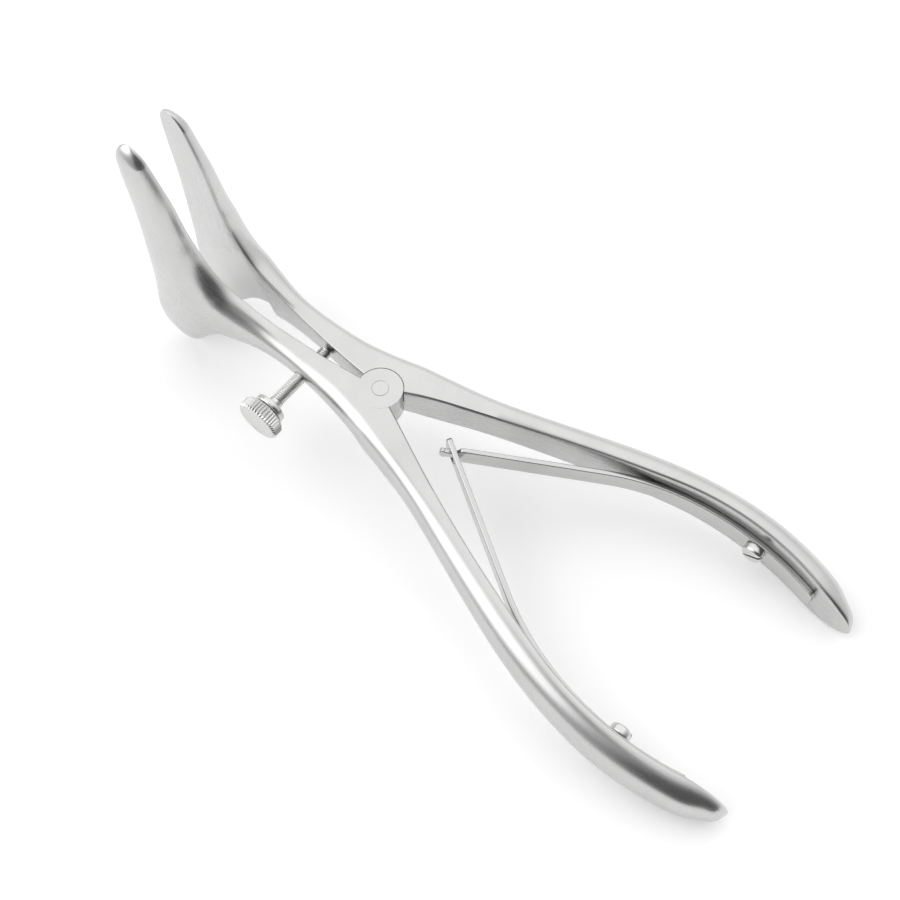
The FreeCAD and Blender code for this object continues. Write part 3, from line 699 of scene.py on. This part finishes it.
def knurl_tree():
    """Straight ridges on the rim of a disc that lies across X."""
    tree = node_tree("straight_knurl", ("Ridges", "Depth", "Inner Radius",
                                        "Centre Y", "Centre Z"))
    given, _, offsets, radius, turn = about_axis(tree)
    ridge = ridges(tree, sums(tree, "MULTIPLY", turn,
                              given.outputs["Ridges"]), 1.3)
    over = sums(tree, "MAXIMUM",
                sums(tree, "SUBTRACT", radius, given.outputs["Inner Radius"]),
                0.0)
    depth = sums(tree, "MULTIPLY", ridge,
                 sums(tree, "MINIMUM", over, given.outputs["Depth"]))
    draw_in(tree, given, offsets, radius, depth)
    return tree


knob_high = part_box("knurled_knob")[1]
knob_outline = [(0.0, 0.0), (0.0, 2.6), (0.0, 4.25), (-0.04, 4.4),
                (-0.22, 4.58), (-0.42, 4.78), (-0.5, KNOB_RADIUS)]
knob_outline += [(-0.5 - 0.18 * row, KNOB_RADIUS) for row in range(1, 11)]
knob_outline += [(-2.38, 4.78), (-2.56, 4.62), (-2.72, 4.46), (-2.78, 4.36),
                 (-2.8, 4.25), (-2.8, 4.12), (-2.76, 4.0), (-2.62, 3.86),
                 (-2.5, 3.6), (-2.42, 2.8), (-2.37, 1.4), (-2.35, 0.0)]
knob = lathe("knurled_head", [(x * MM, r * MM) for x, r in knob_outline],
             (knob_high.x, screw_y, screw_z), KNURLS * 8, turned_steel)
grow(knob, knurl_tree(),
     {"Ridges": KNURLS, "Depth": KNURL_DEPTH * MM,
      "Inner Radius": KNURL_ROOT * MM, "Centre Y": screw_y,
      "Centre Z": screw_z}, turned_steel)
smooth_by_angle(knob, 30)
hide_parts("knurled_knob")
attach(knob, "knob_body")

# Leaf springs: two ground and tempered strips, one screwed to the inner side
# of each handle. They bow towards each other, and the tongue of one goes
# through a slot in the other, so that on the instrument both bend when the
# handles close; here each is built in one shape only.
spring_steel = steel("spring_steel", (0.57, 0.57, 0.566), 0.2,
                     (90.0, 4200.0, 1.0), 0.00001, 0.05, belt=True)
SEAT_GAP, LEAF_WIDTH, LEAF_EDGE = 0.02, 4.5, 0.22
FOOT_THICK, FREE_THICK = 1.2, 1.1
FOOT_START, FOOT_END = -9.2, 17.0       # headings on the grip's arc
LEAF_BEND = 55.0                        # radius of the bend off the handle
LATCH, TONGUE = 18.9, 2.9               # crossing behind the pivot, overrun
TONGUE_HALF, TONGUE_LENGTH, END_ROUND, FOOT_ROUND = 0.9, 4.0, 1.3, 0.9
SLOT_SIZE, SLOT_ROUND = (8.0, 3.2, 2.9), 0.8


def leaf_line():
    """Plan of the right leaf's back from the foot to the free end, as point
    and outward heading, with the arm shut."""
    back = GRIP - SEAT_GAP
    bend_centre = grip_centre + (back - LEAF_BEND) * heading(FOOT_END)
    half = math.radians(OPENING / 2)
    latch = np.array([LATCH * math.sin(half), -LATCH * math.cos(half)])
    way = latch - bend_centre
    far = np.linalg.norm(way)
    middle = LEAF_BEND - FOOT_THICK / 2
    leave = math.degrees(math.atan2(way[1], way[0])
                         - math.acos(middle / far))
    line = [(grip_centre + back * heading(angle), angle)
            for angle in np.arange(FOOT_START, FOOT_END, 0.4)]
    line += [(bend_centre + LEAF_BEND * heading(angle), angle)
             for angle in np.arange(FOOT_END, leave, 0.5)]
    start = bend_centre + LEAF_BEND * heading(leave)
    tangent = heading(leave + 90)
    run = (latch - start) @ tangent + TONGUE
    steps = np.concatenate([np.arange(0.0, run - 2.0, 0.4),
                            np.arange(run - 2.0, run + 0.01, 0.1)])
    line += [(start + tangent * step, leave) for step in steps]
    return line


def leaf_skin(name, side):
    """The strip with rounded edges; the right leaf narrows to its tongue."""
    line = leaf_line()
    lengths = [0.0]
    for (point, _), (before, _) in zip(line[1:], line[:-1]):
        lengths.append(lengths[-1] + np.linalg.norm(point - before))
    total = lengths[-1]
    vertices = []
    for (point, angle), length in zip(line, lengths):
        share = min(max((length - 28.0) / (total - 32.0), 0.0), 1.0)
        thick = FOOT_THICK + (FREE_THICK - FOOT_THICK) * share
        half = LEAF_WIDTH / 2
        left = total - length
        if side > 0:
            neck = min(max((left - TONGUE_LENGTH) / 0.8, 0.0), 1.0)
            half = TONGUE_HALF + (half - TONGUE_HALF) * math.sqrt(
                1 - (1 - neck) ** 2)
            if left < END_ROUND:
                half = max(half, TONGUE_HALF + 0.3 * math.sin(
                    math.pi * min(left / END_ROUND, 1.0) ** 0.8))
                half *= math.sqrt(1 - (1 - min(left / 0.7, 1.0)) ** 2)
        elif left < END_ROUND:
            half *= 0.45 + 0.55 * math.sqrt(1 - (1 - left / END_ROUND) ** 2)
        if length < FOOT_ROUND:
            half -= FOOT_ROUND - math.sqrt(
                FOOT_ROUND ** 2 - (FOOT_ROUND - length) ** 2)
        half = max(half, 0.12)
        edge = min(LEAF_EDGE, 0.42 * thick, 0.8 * half)
        ring = []
        for cx, cy, start in ((0.0, half, 0), (-thick, half, 90),
                              (-thick, -half, 180), (0.0, -half, 270)):
            inx = -edge if cx == 0.0 else edge
            iny = -edge if cy > 0 else edge
            for step in range(EDGE_STEPS + 1):
                turn = math.radians(start + 90 * step / EDGE_STEPS)
                ring.append((cx + inx + edge * math.cos(turn),
                             cy + iny + edge * math.sin(turn)))
        rise = LAP + DROOP * point[1]
        for across, lift in ring:
            plan = point + heading(angle) * across
            vertices.append((side * plan[0], plan[1], rise + lift))
    return tube(name, side, vertices, lengths, len(ring), spring_steel)


for name, side in (("left_spring", -1), ("right_spring", 1)):
    leaf = leaf_skin(name + "_leaf", side)
    if side < 0:
        latch_rise = (LAP - DROOP * LATCH) * MM
        opening = bmesh.new()
        bmesh.ops.create_cube(opening, size=1.0)
        bmesh.ops.scale(opening, verts=opening.verts,
                        vec=[size * MM for size in SLOT_SIZE])
        bmesh.ops.bevel(opening, geom=[
            edge for edge in opening.edges
            if abs(edge.verts[0].co.x - edge.verts[1].co.x) > MM],
            offset=SLOT_ROUND * MM, segments=5, affect="EDGES")
        bmesh.ops.translate(opening, verts=opening.verts,
                            vec=(0.0, -LATCH * MM, latch_rise))
        combine(leaf, opening, "DIFFERENCE")
    smooth_by_angle(leaf, 35)
    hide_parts(name)
    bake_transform(leaf)

# Spring screws: two small turned cheese heads with a screwdriver slot and a
# broken rim. Each one goes through the foot of a leaf into the handle and
# holds the foot flat on the handle's inner face.
SLIT_SIZE, SLIT_TURN = (1.5, 0.55, 6.0), 62
head_outline = [(0.0, 0.0), (0.0, 1.35), (0.0, 1.62), (0.05, 1.82),
                (0.15, 2.0), (0.32, 2.15), (0.5, 2.22), (0.7, 2.25),
                (1.6, 2.25), (1.8, 2.24), (1.88, 2.18), (1.9, 2.08),
                (1.9, 1.1), (2.6, 1.1), (5.0, 1.1), (6.3, 1.1),
                (6.5, 0.9), (6.5, 0.0)]
for name, side in (("left_spring_screw", -1), ("right_spring_screw", 1)):
    low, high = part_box(name)
    centre = (high.x if side < 0 else low.x, (low.y + high.y) / 2,
              (low.z + high.z) / 2)
    head = lathe(name + "_head",
                 [(side * x * MM, radius * MM) for x, radius in head_outline],
                 centre, 96, turned_steel)
    slit = bmesh.new()
    bmesh.ops.create_cube(slit, size=1.0)
    bmesh.ops.scale(slit, verts=slit.verts,
                    vec=[size * MM for size in SLIT_SIZE])
    bmesh.ops.rotate(slit, verts=slit.verts,
                     matrix=Matrix.Rotation(math.radians(SLIT_TURN), 3, "X"))
    bmesh.ops.translate(slit, verts=slit.verts, vec=centre)
    combine(head, slit, "DIFFERENCE")
    smooth_by_angle(head, 40)
    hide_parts(name)
    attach(head, "left_body" if side < 0 else "right_body")

# Table: a plain white sheet with a matt face, which the instrument lies on.
# It keeps the instrument's soft shadow and is white everywhere else.
SHEET, SHEET_TOP = 0.32, -0.00015
PAPER, PAPER_GLOW = 0.9, 0.19
paper = bpy.data.materials.new("white_table")
paper.use_nodes = True
tree = paper.node_tree
tree.nodes.clear()
out = tree.nodes.new("ShaderNodeOutputMaterial")
matt = tree.nodes.new("ShaderNodeBsdfDiffuse")
matt.inputs["Color"].default_value = (PAPER, PAPER, PAPER, 1.0)
glow = tree.nodes.new("ShaderNodeEmission")
glow.inputs["Color"].default_value = (1.0, 1.0, 1.0, 1.0)
rays = tree.nodes.new("ShaderNodeLightPath")
seen = tree.nodes.new("ShaderNodeMath")
seen.operation = "MAXIMUM"
tree.links.new(rays.outputs["Is Camera Ray"], seen.inputs[0])
tree.links.new(rays.outputs["Is Glossy Ray"], seen.inputs[1])
gain = tree.nodes.new("ShaderNodeMath")
gain.operation = "MULTIPLY"
gain.inputs[1].default_value = PAPER_GLOW
tree.links.new(seen.outputs[0], gain.inputs[0])
tree.links.new(gain.outputs[0], glow.inputs["Strength"])
both = tree.nodes.new("ShaderNodeAddShader")
tree.links.new(matt.outputs[0], both.inputs[0])
tree.links.new(glow.outputs[0], both.inputs[1])
tree.links.new(both.outputs[0], out.inputs["Surface"])
floor = mesh_object("table_top", [
    (-SHEET, -SHEET, SHEET_TOP), (SHEET, -SHEET, SHEET_TOP),
    (SHEET, SHEET, SHEET_TOP), (-SHEET, SHEET, SHEET_TOP)],
    [(0, 1, 2, 3)], paper)

# Studio: a white room round the table. It is brighter behind the blades and
# over the right handle, greyer on the set screw's side, and dark where the
# instrument is looked at from and in a small spot overhead.
ROOM_LEVEL = 0.9
PATCHES = (     # azimuth, elevation, half width of core and rim, level
    (180.0, 4.0, 20.0, 55.0, 0.5), (40.0, 60.0, 30.0, 65.0, 1.3),
    (126.0, 42.0, 26.0, 41.0, 2.1), (-120.0, 22.0, 32.0, 60.0, 0.1),
    (-155.0, 79.0, 5.0, 17.0, 0.22))
world = bpy.data.worlds.new("studio")
bpy.context.scene.world = world
world.use_nodes = True
tree = world.node_tree
tree.nodes.clear()
out = tree.nodes.new("ShaderNodeOutputWorld")
room = tree.nodes.new("ShaderNodeBackground")
white = tree.nodes.new("ShaderNodeBackground")
white.inputs["Color"].default_value = (1.0, 1.0, 1.0, 1.0)
white.inputs["Strength"].default_value = 1.0
aim = tree.nodes.new("ShaderNodeTexCoord")
tone = None
for turn, lift, core, rim, level in PATCHES:
    turn, lift = math.radians(turn), math.radians(lift)
    near = tree.nodes.new("ShaderNodeVectorMath")
    near.operation = "DOT_PRODUCT"
    near.inputs[1].default_value = (math.cos(turn) * math.cos(lift),
                                    math.sin(turn) * math.cos(lift),
                                    math.sin(lift))
    tree.links.new(aim.outputs["Generated"], near.inputs[0])
    angle = sums(tree, "ARCCOSINE", near.outputs["Value"])
    fade = tree.nodes.new("ShaderNodeMapRange")
    fade.interpolation_type = "SMOOTHSTEP"
    fade.inputs["From Min"].default_value = math.radians(rim)
    fade.inputs["From Max"].default_value = math.radians(core)
    tree.links.new(angle, fade.inputs["Value"])
    step = tree.nodes.new("ShaderNodeMix")
    step.data_type = "FLOAT"
    step.inputs[2].default_value = ROOM_LEVEL
    step.inputs[3].default_value = level
    tree.links.new(fade.outputs["Result"], step.inputs[0])
    if tone is not None:
        tree.links.new(tone, step.inputs[2])
    tone = step.outputs[0]
room.inputs["Color"].default_value = (1.0, 1.0, 1.0, 1.0)
tree.links.new(tone, room.inputs["Strength"])
rays = tree.nodes.new("ShaderNodeLightPath")
pick = tree.nodes.new("ShaderNodeMixShader")
tree.links.new(rays.outputs["Is Camera Ray"], pick.inputs["Fac"])
tree.links.new(room.outputs[0], pick.inputs[1])
tree.links.new(white.outputs[0], pick.inputs[2])
tree.links.new(pick.outputs[0], out.inputs["Surface"])

# Camera: the photograph's viewpoint, about 62 degrees above the table, found
# from the two arms, which are alike.
eye = bpy.data.cameras.new("viewpoint")
eye.lens = 50.04
eye.sensor_width = 36.0
eye.dof.use_dof = False
eye.clip_start, eye.clip_end = 0.01, 20.0
camera = bpy.data.objects.new("viewpoint", eye)
bpy.context.scene.collection.objects.link(camera)
right = Vector((0.62127, -0.78363, 0.0))
up = Vector((0.69188, 0.54853, 0.4695))
back = Vector((-0.36791, -0.29167, 0.8829))
camera.matrix_world = Matrix.Translation((-0.09305, -0.09177, 0.24018)) @ \
    Matrix((right, up, back)).transposed().to_4x4()
bpy.context.scene.camera = camera
bpy.context.scene.view_settings.view_transform = "Standard"
